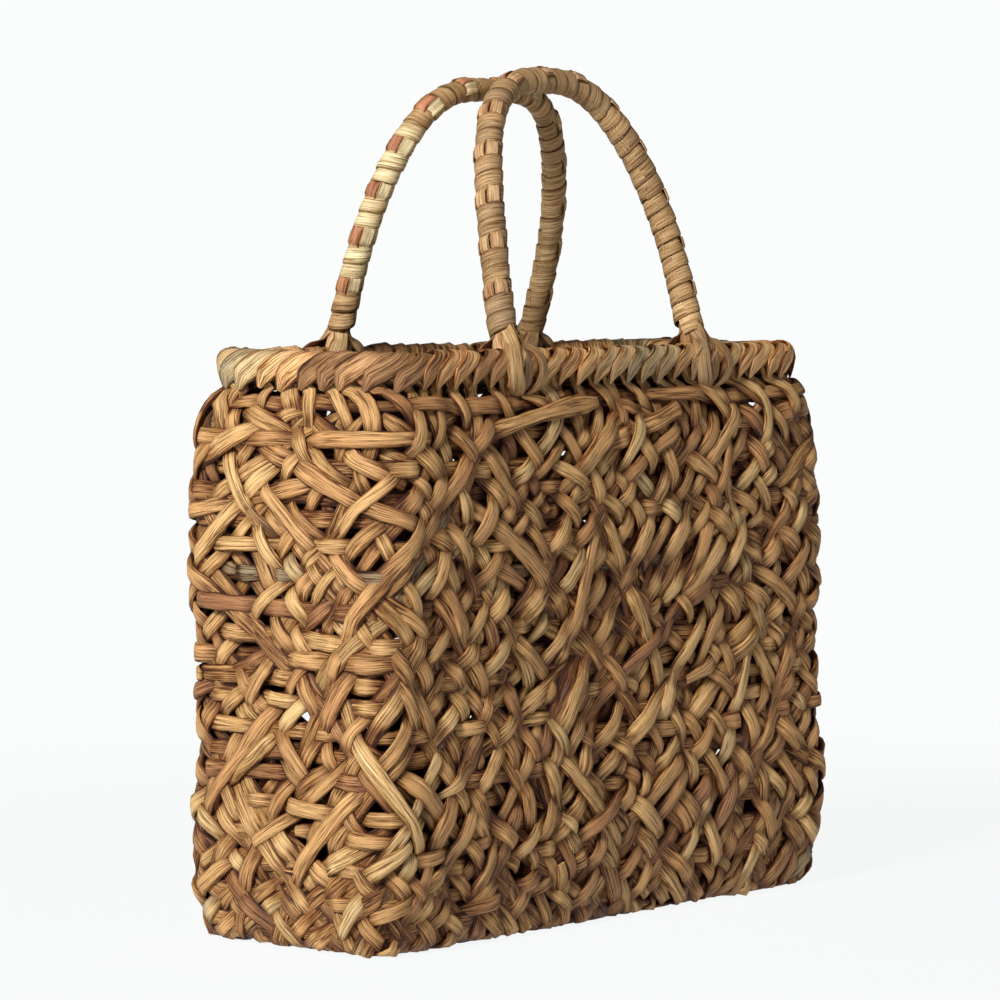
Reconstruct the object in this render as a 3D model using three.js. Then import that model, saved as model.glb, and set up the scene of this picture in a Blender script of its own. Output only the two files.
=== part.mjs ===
import * as THREE from 'three';

// A grapevine basket bag: split vine stakes and hoops are interlaced into an open box,
// a lashed pair of hoops closes its rim, and two wrapped arch handles swing on that rim.
// Millimetres, +X along the width, -Y at the front, +Z up, origin under the middle of the base.

// Outer sizes of the bag, over the woven wall and over the lashed rim. The two powers say how
// soon the wall bulges above the base and how late it draws in again below the rim.
const baseWidth = 294;
const baseDepth = 104;
const rimWidth = 282;
const rimDepth = 103;
const bagHeight = 240;
const wallBulge = 11;
const bulgeAboveBase = 4;
const bulgeBelowRim = 7;
const baseCornerRadius = 17;
const rimCornerRadius = 16;
const baseBendRadius = 10;

// Split vine strips of the wall, and how they interlace. An inset is the length along a wall
// from where a corner starts to the middle of the last stake, and the shift is how far the
// stakes of a long wall lean to one side by the rim.
const stripWidth = 12;
const stripThickness = 1.4;
const weaveGap = 2.8;
const stakeTipWidth = 8.4;
const crossStakeCount = 11;
const longStakeCount = 3;
const baseCrossInset = 19.2;
const baseLongInset = 11.8;
const rimCrossInset = 12.7;
const rimLongInset = 6.95;
const rimStakeShift = 4;
const hoopCount = 10;
const bendSteps = 3;
const cornerSteps = 3;
const baseFlatLength = 8;

// Rim: two half-round hoops with the stake tips between them, lashed by a strip
const rimHoopRadius = 6;
const tipSlotClearance = 0.3;
const tipRecess = 1.6;
const lashingThickness = 1.2;
const lashingClearance = 0.42;
const lashingPassWidth = 3.9;
const lashingPassGap = 0.9;
const lashingFaceWidth = 9;
const lashingCornerWidth = 6.4;
const passesAtCorner = 4;

// Handles: a bent vine rod, a patterned strip along its back and a wrapping strip over both
const leftFootGap = 2;
const rightFootGap = 8;
const handleHeight = 122.5;
const archShoulder = 0.53;
const archCrown = 0.9;
const archSkew = 5;
const archUpright = 0.1;
const coreRadius = 4.1;
const coreFootRadius = 5;
const coreFootLength = 7;
const coreTaperLength = 2;
const coreSeat = 0.4;
const patternStripWidth = 4.4;
const patternStripThickness = 0.7;
const patternStripClearance = 0.3;
const wrapThickness = 0.9;
const wrapClearance = 0.4;
const wrapTurnsPerLeg = 20;
const wrapTurnGap = 0.9;
const wrapStart = 9.8;
const wrapButtGap = 0.6;
const apexClearance = 0.4;
const turnSteps = 8;

// Bands that tie each handle foot round the rim
const bandWidth = 4.4;
const bandThickness = 1.4;
const bandClearance = 0.4;
const bandGap = 0.6;
const bandFlare = 0.5;
const bandBow = 0.6;
const bandTailGap = 0.6;
const bandSteps = 8;

// Places that follow from the sizes above
const weaveOffset = (stripThickness + weaveGap) / 2;
const wallHalf = weaveOffset + stripThickness / 2;
const turnApothem = Math.cos(Math.PI / turnSteps);
const lashingInner = (rimHoopRadius + lashingClearance) / turnApothem;
const rimRadius = lashingInner + lashingThickness;
const rimAxisZ = bagHeight - rimRadius;
const rimFootZ = rimAxisZ - rimHoopRadius - tipSlotClearance;
const baseMidZ = wallHalf;
const bendTopZ = baseMidZ + baseBendRadius;
const lowestHoopZ = bendTopZ + stripWidth / 2 + tipSlotClearance;
const highestHoopZ = rimAxisZ - rimRadius - stripWidth / 2 - 2 * lashingClearance;
const hoopPitch = (highestHoopZ - lowestHoopZ) / (hoopCount - 1);
const rimHalfX = rimWidth / 2 - rimRadius;
const rimHalfY = rimDepth / 2 - rimRadius;
const rimStraightX = rimHalfX - rimCornerRadius;
const rimStraightY = rimHalfY - rimCornerRadius;
const baseStraightX = baseWidth / 2 - wallHalf - baseCornerRadius;
const baseStraightY = baseDepth / 2 - wallHalf - baseCornerRadius;
const legCount = 2 * (crossStakeCount + longStakeCount);
const evenPitch = (straight, inset, count) => 2 * (straight - inset) / (count - 1);
const baseCrossPitch = evenPitch(baseStraightX, baseCrossInset, crossStakeCount);
const rimCrossPitch = evenPitch(rimStraightX, rimCrossInset, crossStakeCount);
const baseLongPitch = evenPitch(baseStraightY, baseLongInset, longStakeCount);
const rimLongPitch = evenPitch(rimStraightY, rimLongInset, longStakeCount);

const { clamp, lerp, degToRad } = THREE.MathUtils;
const up = new THREE.Vector3(0, 0, 1);
const vec = (x, y, z) => new THREE.Vector3(x, y, z);

// How far up the wall a height is, from 0 at the bend of the base to 1 under the rim
const wallRise = (z) => clamp((z - bendTopZ) / (rimFootZ - bendTopZ), 0, 1);

// Half-width, half-depth and corner radius of the middle of the wall at a height
function wallSection(z) {
  const rise = wallRise(z);
  const swell = wallBulge * (1 - (1 - rise) ** bulgeAboveBase) * (1 - rise ** bulgeBelowRim);
  return {
    halfX: lerp(baseWidth / 2 - wallHalf, rimHalfX, rise) + swell,
    halfY: lerp(baseDepth / 2 - wallHalf, rimHalfY, rise) + swell,
    corner: lerp(baseCornerRadius, rimCornerRadius, rise),
  };
}

// Closed skin over a run of cross-sections that all have the same number of corners
function skin(sections, isRing = false) {
  const corners = sections[0].length;
  const points = sections.flat();
  const faces = [];
  const spans = isRing ? sections.length : sections.length - 1;
  for (let span = 0; span < spans; span += 1) {
    const here = span * corners;
    const next = ((span + 1) % sections.length) * corners;
    for (let corner = 0; corner < corners; corner += 1) {
      const after = (corner + 1) % corners;
      faces.push([here + corner, here + after, next + after]);
      faces.push([here + corner, next + after, next + corner]);
    }
  }
  if (!isRing) {
    const last = (sections.length - 1) * corners;
    for (let corner = 1; corner < corners - 1; corner += 1) {
      faces.push([0, corner + 1, corner]);
      faces.push([last, last + corner, last + corner + 1]);
    }
  }
  const volume = faces.reduce((sum, [a, b, c]) => {
    return sum + points[a].dot(points[b].clone().cross(points[c]));
  }, 0);
  const outward = volume > 0 ? faces : faces.map(([a, b, c]) => [a, c, b]);
  const geometry = new THREE.BufferGeometry();
  const positions = points.flatMap((point) => [point.x, point.y, point.z]);
  geometry.setAttribute('position', new THREE.Float32BufferAttribute(positions, 3));
  geometry.setIndex(outward.flat());
  geometry.computeVertexNormals();
  return geometry;
}

// Four-cornered section of a flat strip, across its width and through its thickness
function stripSection(centre, across, width, outward, thickness) {
  const side = across.clone().multiplyScalar(width / 2);
  const face = outward.clone().multiplyScalar(thickness / 2);
  return [
    centre.clone().sub(side).sub(face),
    centre.clone().add(side).sub(face),
    centre.clone().add(side).add(face),
    centre.clone().sub(side).add(face),
  ];
}

// Least distance between points of a winding that are most of a turn apart
function leastTurnGap(sections, stepsPerTurn) {
  const between = 4;
  const mostOfTurn = 0.7;
  const rows = [];
  for (let index = 0; index < sections.length - 1; index += 1) {
    for (let part = 0; part < between; part += 1) {
      rows.push(sections[index].map((point, corner) => {
        return point.clone().lerp(sections[index + 1][corner], part / between);
      }));
    }
  }
  const apart = Math.round(stepsPerTurn * between * mostOfTurn);
  let least = Infinity;
  for (let first = 0; first < rows.length; first += 1) {
    const end = Math.min(rows.length, first + 2 * stepsPerTurn * between);
    for (let second = first + apart; second < end; second += 1) {
      for (const a of rows[first]) {
        for (const b of rows[second]) {
          least = Math.min(least, a.distanceTo(b));
        }
      }
    }
  }
  return least;
}

function material(color, roughness) {
  return new THREE.MeshStandardMaterial({ color, roughness, metalness: 0 });
}

function piece(name, geometry, finish) {
  const mesh = new THREE.Mesh(geometry, finish);
  mesh.name = name;
  return mesh;
}

const bag = new THREE.Group();

// Which face of the wall a strip runs on, counted from leg to leg round the bag
const stakeSide = (leg, hoop) => ((leg + hoop) % 2 === 0 ? 1 : -1);
const hoopZ = (hoop) => lowestHoopZ + hoop * hoopPitch;

// Where a stake stands along its wall at a height, seen with that wall in front: stakes spread
// evenly over base and rim
function crossPlace(index, z) {
  const rise = wallRise(z);
  return (index - (crossStakeCount - 1) / 2) * lerp(baseCrossPitch, rimCrossPitch, rise) - rimStakeShift * rise;
}

function longPlace(index, z) {
  return (index - (longStakeCount - 1) / 2) * lerp(baseLongPitch, rimLongPitch, wallRise(z));
}

// One leg of a stake, from its tip in the rim down to the bend at the base. Reach is the
// distance of the wall from the middle of the bag, and facing is the way that wall faces.
function legSections(halfName, facing, across, sideAtHoop, placeAt) {
  const rows = [];
  const addRow = (reach, z, width, outward) => {
    const centre = vec(0, 0, z).addScaledVector(across, placeAt(z)).addScaledVector(facing, reach);
    rows.push(stripSection(centre, across, width, outward, stripThickness));
  };
  const tipZ = rimAxisZ + rimHoopRadius - tipRecess;
  addRow(wallSection(tipZ)[halfName], tipZ, stakeTipWidth, facing);
  addRow(wallSection(rimFootZ)[halfName], rimFootZ, stakeTipWidth, facing);
  for (let hoop = hoopCount - 1; hoop >= 0; hoop -= 1) {
    const z = hoopZ(hoop);
    addRow(wallSection(z)[halfName] + sideAtHoop(hoop) * weaveOffset, z, stripWidth, facing);
  }
  const bendReach = wallSection(bendTopZ)[halfName] - baseBendRadius;
  for (let step = 1; step <= bendSteps; step += 1) {
    const part = step / (bendSteps + 1);
    const angle = part * Math.PI / 2;
    const radius = baseBendRadius + sideAtHoop(0) * weaveOffset * (1 - 2 * part);
    const outward = facing.clone().multiplyScalar(Math.cos(angle)).addScaledVector(up, -Math.sin(angle));
    addRow(bendReach + radius * Math.cos(angle), bendTopZ - radius * Math.sin(angle), stripWidth, outward);
  }
  return rows;
}

// Section of a stake where it lies in the base, on its lower or upper face
function baseSection(place, side, across) {
  const centre = place.clone().setZ(baseMidZ - side * weaveOffset);
  return stripSection(centre, across, stripWidth, up.clone().negate(), stripThickness);
}

// Cross stakes: up the front, under the base and up the back
const stakeFinish = material(0x94693b, 0.72);
const alongX = vec(1, 0, 0);
const alongY = vec(0, 1, 0);
for (let index = 0; index < crossStakeCount; index += 1) {
  const placeAt = (z) => crossPlace(index, z);
  const placeBehind = (z) => -crossPlace(crossStakeCount - 1 - index, z);
  const frontLeg = index;
  const backLeg = 2 * crossStakeCount + longStakeCount - 1 - index;
  const front = legSections('halfY', vec(0, -1, 0), alongX, (hoop) => stakeSide(frontLeg, hoop), placeAt);
  const back = legSections('halfY', vec(0, 1, 0), alongX, (hoop) => stakeSide(backLeg, hoop), placeBehind);
  const base = [];
  for (let long = 0; long < longStakeCount; long += 1) {
    const side = stakeSide(index, long + 1);
    for (const end of [-1, 1]) {
      const y = longPlace(long, 0) + end * baseFlatLength / 2;
      base.push(baseSection(vec(placeAt(0), y, 0), side, alongX));
    }
  }
  const name = `cross_stake_${String(index + 1).padStart(2, '0')}`;
  bag.add(piece(name, skin([...front, ...base, ...back.reverse()]), stakeFinish));
}

// Long stakes: up one end, along the base and up the other end
const longStakeFinish = material(0x7f5630, 0.75);
for (let index = 0; index < longStakeCount; index += 1) {
  const placeAt = (z) => longPlace(index, z);
  const rightLeg = crossStakeCount + index;
  const leftLeg = legCount - 1 - index;
  const left = legSections('halfX', vec(-1, 0, 0), alongY, (hoop) => stakeSide(leftLeg, hoop), placeAt);
  const right = legSections('halfX', vec(1, 0, 0), alongY, (hoop) => stakeSide(rightLeg, hoop), placeAt);
  const base = [];
  for (let cross = 0; cross < crossStakeCount; cross += 1) {
    base.push(baseSection(vec(crossPlace(cross, 0), placeAt(0), 0), stakeSide(cross, index), alongY));
  }
  bag.add(piece(`long_stake_${index + 1}`, skin([...left, ...base, ...right.reverse()]), longStakeFinish));
}

// Hoops: closed rings that weave in and out of the stakes and turn freely round the corners
const hoopFinishes = [material(0xa0743f, 0.7), material(0x6f4a2c, 0.75), material(0x8c5a2f, 0.72)];

function hoopSections(hoop) {
  const z = hoopZ(hoop);
  const { halfX, halfY, corner } = wallSection(z);
  const slope = (wallSection(z + stripWidth / 2).halfY - wallSection(z - stripWidth / 2).halfY) / stripWidth;
  const rows = [];
  const addRow = (x, y, outward) => {
    const across = up.clone().addScaledVector(outward, slope).normalize();
    rows.push(stripSection(vec(x, y, z), across, stripWidth, outward, stripThickness));
  };
  const walls = [
    { facing: vec(0, -1, 0), reach: halfY, along: vec(1, 0, 0), count: crossStakeCount, place: crossPlace },
    { facing: vec(1, 0, 0), reach: halfX, along: vec(0, 1, 0), count: longStakeCount, place: longPlace },
    { facing: vec(0, 1, 0), reach: halfY, along: vec(-1, 0, 0), count: crossStakeCount, place: crossPlace },
    { facing: vec(-1, 0, 0), reach: halfX, along: vec(0, -1, 0), count: longStakeCount, place: longPlace },
  ];
  let leg = 0;
  walls.forEach(({ facing, reach, along, count, place }, wall) => {
    for (let index = 0; index < count; index += 1) {
      const out = reach - stakeSide(leg, hoop) * weaveOffset;
      const centre = facing.clone().multiplyScalar(out).addScaledVector(along, place(index, z));
      addRow(centre.x, centre.y, facing);
      leg += 1;
    }
    const nextReach = walls[(wall + 1) % walls.length].reach;
    const pivot = facing.clone().multiplyScalar(reach - corner).addScaledVector(along, nextReach - corner);
    for (let step = 1; step <= cornerSteps; step += 1) {
      const part = (step - 0.5) / cornerSteps;
      const outward = facing.clone().applyAxisAngle(up, part * Math.PI / 2);
      const radius = corner - stakeSide(leg - 1, hoop) * weaveOffset * (1 - 2 * part);
      addRow(pivot.x + radius * outward.x, pivot.y + radius * outward.y, outward);
    }
  });
  return rows;
}

for (let hoop = 0; hoop < hoopCount; hoop += 1) {
  const name = `hoop_${String(hoop + 1).padStart(2, '0')}`;
  bag.add(piece(name, skin(hoopSections(hoop), true), hoopFinishes[hoop % hoopFinishes.length]));
}

// A place on the rim's centre line and the way it faces, by the length walked from the
// middle of the front towards +X and on round the bag
const rimArc = rimCornerRadius * Math.PI / 2;
const rimQuarter = rimStraightX + rimArc + rimStraightY;

function rimPlace(length) {
  const quarter = Math.floor(length / rimQuarter + 1e-9);
  const turned = quarter % 2 !== 0;
  const firstStraight = turned ? rimStraightY : rimStraightX;
  const walked = length - quarter * rimQuarter;
  const start = { first: firstStraight, arc: firstStraight + rimArc };
  const angle = clamp((walked - start.first) / rimCornerRadius, 0, Math.PI / 2);
  const inX = Math.min(walked, start.first);
  const past = Math.max(walked - start.arc, 0);
  const halfAcross = turned ? rimHalfX : rimHalfY;
  const along = inX + rimCornerRadius * Math.sin(angle);
  const down = halfAcross - rimCornerRadius * (1 - Math.cos(angle)) - past;
  const spin = quarter * Math.PI / 2;
  return {
    point: vec(along, -down, 0).applyAxisAngle(up, spin).setZ(rimAxisZ),
    facing: vec(Math.sin(angle), -Math.cos(angle), 0).applyAxisAngle(up, spin),
  };
}

function rimPoint(length, angle, radius) {
  const { point, facing } = rimPlace(length);
  return point.addScaledVector(facing, radius * Math.cos(angle)).setZ(rimAxisZ + radius * Math.sin(angle));
}

// Rim hoops: half-round rods outside and inside the stake tips
const rimHoopFinish = material(0x6b4b2e, 0.7);
const slotHalf = stripThickness / 2 + tipSlotClearance;
const arcPoints = 6;

function rimHoopSections(side) {
  const openAngle = Math.acos(slotHalf / rimHoopRadius);
  const rows = [];
  for (let quarter = 0; quarter < 4; quarter += 1) {
    const straight = quarter % 2 === 0 ? rimStraightX : rimStraightY;
    for (let step = 0; step <= cornerSteps; step += 1) {
      const length = quarter * rimQuarter + straight + rimArc * step / cornerSteps;
      const row = [];
      for (let index = 0; index < arcPoints; index += 1) {
        const swing = lerp(-openAngle, openAngle, index / (arcPoints - 1));
        const angle = side > 0 ? swing : Math.PI - swing;
        row.push(rimPoint(length, angle, rimHoopRadius));
      }
      rows.push(row);
    }
  }
  return rows;
}

bag.add(piece('rim_hoop_outer', skin(rimHoopSections(1), true), rimHoopFinish));
bag.add(piece('rim_hoop_inner', skin(rimHoopSections(-1), true), rimHoopFinish));

// Rim lashing: flat strips wound round both rim hoops, two turns through each gap between
// stakes. A winding ends at each handle foot, where the foot's bands take its place.
const passSpread = (lashingPassWidth + lashingPassGap) / 2;
const gapPasses = (length) => [length - passSpread, length + passSpread];

function cornerPasses(lastStake, nextStake) {
  const from = lastStake + stakeTipWidth / 2 + lashingClearance + lashingPassWidth / 2;
  const to = nextStake - stakeTipWidth / 2 - lashingClearance - lashingPassWidth / 2;
  return Array.from({ length: passesAtCorner }, (unused, index) => {
    return lerp(from, to, index / (passesAtCorner - 1));
  });
}

// Passes between the two feet of one handle, then passes from a front foot round an end
const rimGap = (gap) => (crossPlace(gap, rimAxisZ) + crossPlace(gap + 1, rimAxisZ)) / 2;
const middlePasses = [];
for (let gap = leftFootGap + 1; gap < rightFootGap; gap += 1) {
  middlePasses.push(...gapPasses(rimGap(gap)));
}
const endPasses = [];
for (let gap = rightFootGap + 1; gap < crossStakeCount - 1; gap += 1) {
  endPasses.push(...gapPasses(rimGap(gap)));
}
const lastFrontStake = crossPlace(crossStakeCount - 1, rimAxisZ);
const firstRearStake = 2 * rimQuarter + crossPlace(0, rimAxisZ);
endPasses.push(...cornerPasses(lastFrontStake, rimQuarter + longPlace(0, rimAxisZ)));
for (let gap = 0; gap < longStakeCount - 1; gap += 1) {
  endPasses.push(...gapPasses(rimQuarter + longPlace(gap, rimAxisZ) + rimLongPitch / 2));
}
endPasses.push(...cornerPasses(rimQuarter + longPlace(longStakeCount - 1, rimAxisZ), firstRearStake));
for (let gap = 0; gap < leftFootGap; gap += 1) {
  endPasses.push(...gapPasses(2 * rimQuarter + rimGap(gap)));
}

const dwell = 1 / turnSteps;

// The strip is drawn in where the rim bends, so that it lies flat on the bend
function faceWidth(length) {
  const onset = 10;
  const { facing } = rimPlace(length);
  const bend = Math.min(1, onset * Math.abs(facing.x * facing.y));
  return lerp(lashingFaceWidth, lashingCornerWidth, bend);
}

function lashingSections(passes, start) {
  const rows = [];
  for (let step = 0; step <= (passes.length - 1) * turnSteps; step += 1) {
    const turn = Math.floor(step / turnSteps);
    const part = (step % turnSteps) / turnSteps;
    const moved = clamp((part - dwell) / (1 - 2 * dwell), 0, 1);
    const spread = clamp((Math.min(part, 1 - part) - dwell) / (0.5 - dwell), 0, 1);
    const length = start + lerp(passes[turn], passes[turn + 1] ?? passes[turn], moved);
    const half = lerp(lashingPassWidth, faceWidth(length), spread) / 2;
    const angle = (part - 0.25) * 2 * Math.PI;
    rows.push([
      rimPoint(length - half, angle, lashingInner),
      rimPoint(length + half, angle, lashingInner),
      rimPoint(length + half, angle, rimRadius),
      rimPoint(length - half, angle, rimRadius),
    ]);
  }
  return rows;
}

const lashingFinish = material(0x7d5734, 0.68);
const roundTrip = 4 * rimQuarter;
const lashings = [
  { name: 'rim_lashing_front', passes: middlePasses, start: roundTrip },
  { name: 'rim_lashing_right', passes: endPasses, start: 0 },
  { name: 'rim_lashing_back', passes: middlePasses, start: 2 * rimQuarter },
  { name: 'rim_lashing_left', passes: endPasses, start: 2 * rimQuarter },
];
for (const { name, passes, start } of lashings) {
  const rows = lashingSections(passes, start);
  bag.add(piece(name, skin(rows), lashingFinish));
  console.log(`${name}: ${passes.length - 1} turns, least gap ${leastTurnGap(rows, turnSteps).toFixed(2)} mm`);
}

// Each handle stands over two of those gaps, a little to one side of the middle of its wall
const footX = (rimGap(rightFootGap) - rimGap(leftFootGap)) / 2;
const handleShift = (rimGap(rightFootGap) + rimGap(leftFootGap)) / 2;

// Centre line of a handle: an arch that stands on the rim's axis over both feet. It rises
// upright from each foot, and above that leans a little along the rim.
class HandleArch extends THREE.Curve {
  getPoint(t, target = new THREE.Vector3()) {
    const angle = lerp(this.startAngle, Math.PI - this.startAngle, t);
    const cosine = Math.cos(angle);
    const rise = Math.sin(angle) ** archCrown;
    const leaning = clamp((rise - archUpright) / (1 - archUpright), 0, 1);
    const aside = archSkew * Math.sin(leaning * Math.PI / 2);
    const x = footX * Math.sign(cosine) * Math.abs(cosine) ** archShoulder + aside;
    return target.set(x, 0, handleHeight * rise);
  }

  get startAngle() {
    return Math.asin(((rimHoopRadius + coreSeat) / handleHeight) ** (1 / archCrown));
  }
}

const arch = new HandleArch();
arch.arcLengthDivisions = 1200;
const archLength = arch.getLength();

// A place round the arch, by length along it, angle from its back and radius
function archPoint(length, angle, radius) {
  const part = clamp(length / archLength, 0, 1);
  const centre = arch.getPointAt(part);
  const tangent = arch.getTangentAt(part);
  const back = vec(tangent.z, 0, -tangent.x);
  return centre.addScaledVector(back, radius * Math.cos(angle)).setY(radius * Math.sin(angle));
}

// Core rod, with a flat along its back where the patterned strip lies
const wrapInner = (coreRadius + wrapClearance) / turnApothem;
const wrapOuter = wrapInner + wrapThickness;
const stripTop = Math.sqrt(coreRadius ** 2 - (patternStripWidth / 2) ** 2);
const coreFlat = stripTop - patternStripThickness - patternStripClearance;
const coreCorners = 7;
const coreRows = 26;
const evenLengths = Array.from({ length: coreRows + 1 }, (unused, row) => {
  return lerp(coreFootLength + coreTaperLength, archLength - coreFootLength - coreTaperLength, row / coreRows);
});
const coreLengths = [0, coreFootLength, ...evenLengths, archLength - coreFootLength, archLength];

function coreSections() {
  return coreLengths.map((length) => {
    const fromEnd = Math.min(length, archLength - length);
    const radius = fromEnd <= coreFootLength ? coreFootRadius : coreRadius;
    const flatAngle = Math.acos(coreFlat / radius);
    return Array.from({ length: coreCorners }, (unused, corner) => {
      return archPoint(length, lerp(flatAngle, 2 * Math.PI - flatAngle, corner / (coreCorners - 1)), radius);
    });
  });
}

function patternStripSections() {
  return evenLengths.slice(1, -1).map((length) => {
    const part = length / archLength;
    const centre = arch.getPointAt(part);
    const tangent = arch.getTangentAt(part);
    const back = vec(tangent.z, 0, -tangent.x);
    centre.addScaledVector(back, stripTop - patternStripThickness / 2);
    return stripSection(centre, alongY, patternStripWidth, back, patternStripThickness);
  });
}

// Wrapping strip: one helix from foot to foot, in two lengths that butt at the crown
const wrapPitch = (archLength - 2 * wrapStart) / (2 * wrapTurnsPerLeg);
const wrapHalf = (wrapPitch - wrapTurnGap) / 2;
const wrapSteps = (2 * wrapTurnsPerLeg - 1) * turnSteps;
const crownStep = wrapTurnsPerLeg * turnSteps - turnSteps / 2;
const stepArc = 2 * Math.PI * wrapOuter / turnSteps;

function wrapSection(step) {
  const length = wrapStart + wrapHalf + wrapPitch * step / turnSteps;
  const angle = 2 * Math.PI * step / turnSteps;
  return [
    archPoint(length - wrapHalf, angle, wrapInner),
    archPoint(length + wrapHalf, angle, wrapInner),
    archPoint(length + wrapHalf, angle, wrapOuter),
    archPoint(length - wrapHalf, angle, wrapOuter),
  ];
}

function wrapSections(leg) {
  const first = leg === 'right' ? 0 : crownStep + wrapButtGap / stepArc;
  const last = leg === 'right' ? crownStep : wrapSteps;
  const rows = [wrapSection(first)];
  for (let step = Math.floor(first) + 1; step <= last; step += 1) {
    rows.push(wrapSection(step));
  }
  return rows;
}

// A foot band: down one face of the leg, round under the rim and up the other face. Two
// lie side by side through one gap between stakes, and bow apart beside the rim.
const bandRadius = rimHoopRadius + bandClearance + bandThickness / 2;
const bandTop = rimHoopRadius + coreSeat + wrapStart - bandTailGap;
const bandTopRadius = coreFootRadius + bandClearance + bandThickness / 2;

function bandSections(foot, side) {
  const rows = [];
  const addRow = (bow, y, z, outward) => {
    const x = foot + side * (bandGap / 2 + bandWidth / 2 + bandFlare * bow);
    rows.push(stripSection(vec(x, y, z), alongX, bandWidth, outward, bandThickness));
  };
  addRow(0, -bandTopRadius, bandTop, vec(0, -1, 0));
  addRow(bandBow, -bandRadius, bandTop / 2, vec(0, -1, 0));
  for (let step = 0; step <= bandSteps; step += 1) {
    const angle = Math.PI * step / bandSteps;
    const outward = vec(0, -Math.cos(angle), -Math.sin(angle));
    const bow = Math.cos(angle) ** 2;
    addRow(bow, bandRadius * outward.y, bandRadius * outward.z, outward);
  }
  addRow(bandBow, bandRadius, bandTop / 2, vec(0, 1, 0));
  addRow(0, bandTopRadius, bandTop, vec(0, 1, 0));
  return rows;
}

// Both handles are alike. Each leans inwards about the rim's axis until the crowns meet.
const coreFinish = material(0x5d4026, 0.8);
const patternFinish = material(0x8f4a26, 0.65);
const wrapFinish = material(0x9c7648, 0.66);
const bandFinish = material(0x84603a, 0.68);
const lean = Math.asin((rimHalfY - wrapOuter - apexClearance / 2) / handleHeight);

function handle(prefix) {
  const group = new THREE.Group();
  group.add(piece(`${prefix}_handle_core`, skin(coreSections()), coreFinish));
  group.add(piece(`${prefix}_pattern_strip`, skin(patternStripSections()), patternFinish));
  for (const leg of ['right', 'left']) {
    const rows = wrapSections(leg);
    group.add(piece(`${prefix}_wrap_${leg}`, skin(rows), wrapFinish));
    console.log(`${prefix}_wrap_${leg}: least gap ${leastTurnGap(rows, turnSteps).toFixed(2)} mm`);
    const foot = leg === 'right' ? footX : -footX;
    group.add(piece(`${prefix}_band_${leg}_a`, skin(bandSections(foot, -1)), bandFinish));
    group.add(piece(`${prefix}_band_${leg}_b`, skin(bandSections(foot, 1)), bandFinish));
  }
  group.position.set(handleShift, -rimHalfY, rimAxisZ);
  group.rotation.x = -lean;
  const turned = new THREE.Group();
  turned.add(group);
  return turned;
}

bag.add(handle('front'));
const rearHandle = handle('rear');
rearHandle.rotation.z = Math.PI;
bag.add(rearHandle);

console.log(`hoop pitch ${hoopPitch.toFixed(2)} mm, rim axis z ${rimAxisZ.toFixed(3)} y ${rimHalfY.toFixed(3)}`);
console.log(`wall half thickness ${wallHalf.toFixed(2)} mm, lean ${(lean / degToRad(1)).toFixed(2)} degrees`);

export default bag;
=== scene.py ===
import math
from dataclasses import dataclass

import bpy
import numpy as np
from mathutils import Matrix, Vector, kdtree


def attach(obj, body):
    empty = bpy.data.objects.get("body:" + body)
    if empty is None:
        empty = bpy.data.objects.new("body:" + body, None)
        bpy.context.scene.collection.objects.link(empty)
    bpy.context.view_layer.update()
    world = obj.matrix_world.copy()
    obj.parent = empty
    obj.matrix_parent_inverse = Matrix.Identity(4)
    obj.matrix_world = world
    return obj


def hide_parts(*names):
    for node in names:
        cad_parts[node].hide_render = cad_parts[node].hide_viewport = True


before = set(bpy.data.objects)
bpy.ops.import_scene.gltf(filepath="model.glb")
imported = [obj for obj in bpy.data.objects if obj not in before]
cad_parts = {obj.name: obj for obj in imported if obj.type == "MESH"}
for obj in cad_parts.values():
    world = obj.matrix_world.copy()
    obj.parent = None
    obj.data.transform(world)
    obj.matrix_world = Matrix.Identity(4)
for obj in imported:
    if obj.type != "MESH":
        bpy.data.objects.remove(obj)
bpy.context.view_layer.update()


# Hoops, stakes and loose lengths of the box
# Split wild-grape vine, shaved to a flat belly and a rounded back and left in its own colours.
# Hoops lie round the bag, stakes come down from the rim and lean to both sides, and loose
# lengths are threaded over and under them until the wall is closed. Millimetres.

MILLIMETRE = 0.001
BASE_HALF = (144.2, 49.2)
RIM_HALF = (132.85, 43.35)
CORNER = 11.5
CORNER_GAIN = 3.5
TIGHTEST_CORNER = 3
BEND = 3.4
BEND_TOP = 5.2
WALL_HEIGHT = 220.3
STEP = 2.8
VINE_THICKNESS = 2.55

# The wall swells fast just above the base and slowly further up, and comes in again close under
# the rim. It has a shallow waist, and its lower part stands a little to the right and the front.
SWELL = 11.2
FAST_SHARE, FAST_POWER, SLOW_POWER, RIM_POWER = 0.38, 14, 1.6, 30
WAIST_DEPTH, WAIST_RISE, WAIST_SPREAD = 2.0, 0.44, 0.16
SWAY, SWAY_RISE, SWAY_FADE = (0.5, -1.2), 0.42, 0.1

FRONT_RUN = 2 * (BASE_HALF[0] - CORNER)
SIDE_RUN = 2 * (BASE_HALF[1] - CORNER)
CORNER_RUN = CORNER * math.pi / 2
HALF_ROUND = FRONT_RUN + SIDE_RUN + 2 * CORNER_RUN
ROUND = 2 * HALF_ROUND
BEND_RUN = BEND * math.pi / 2


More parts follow.
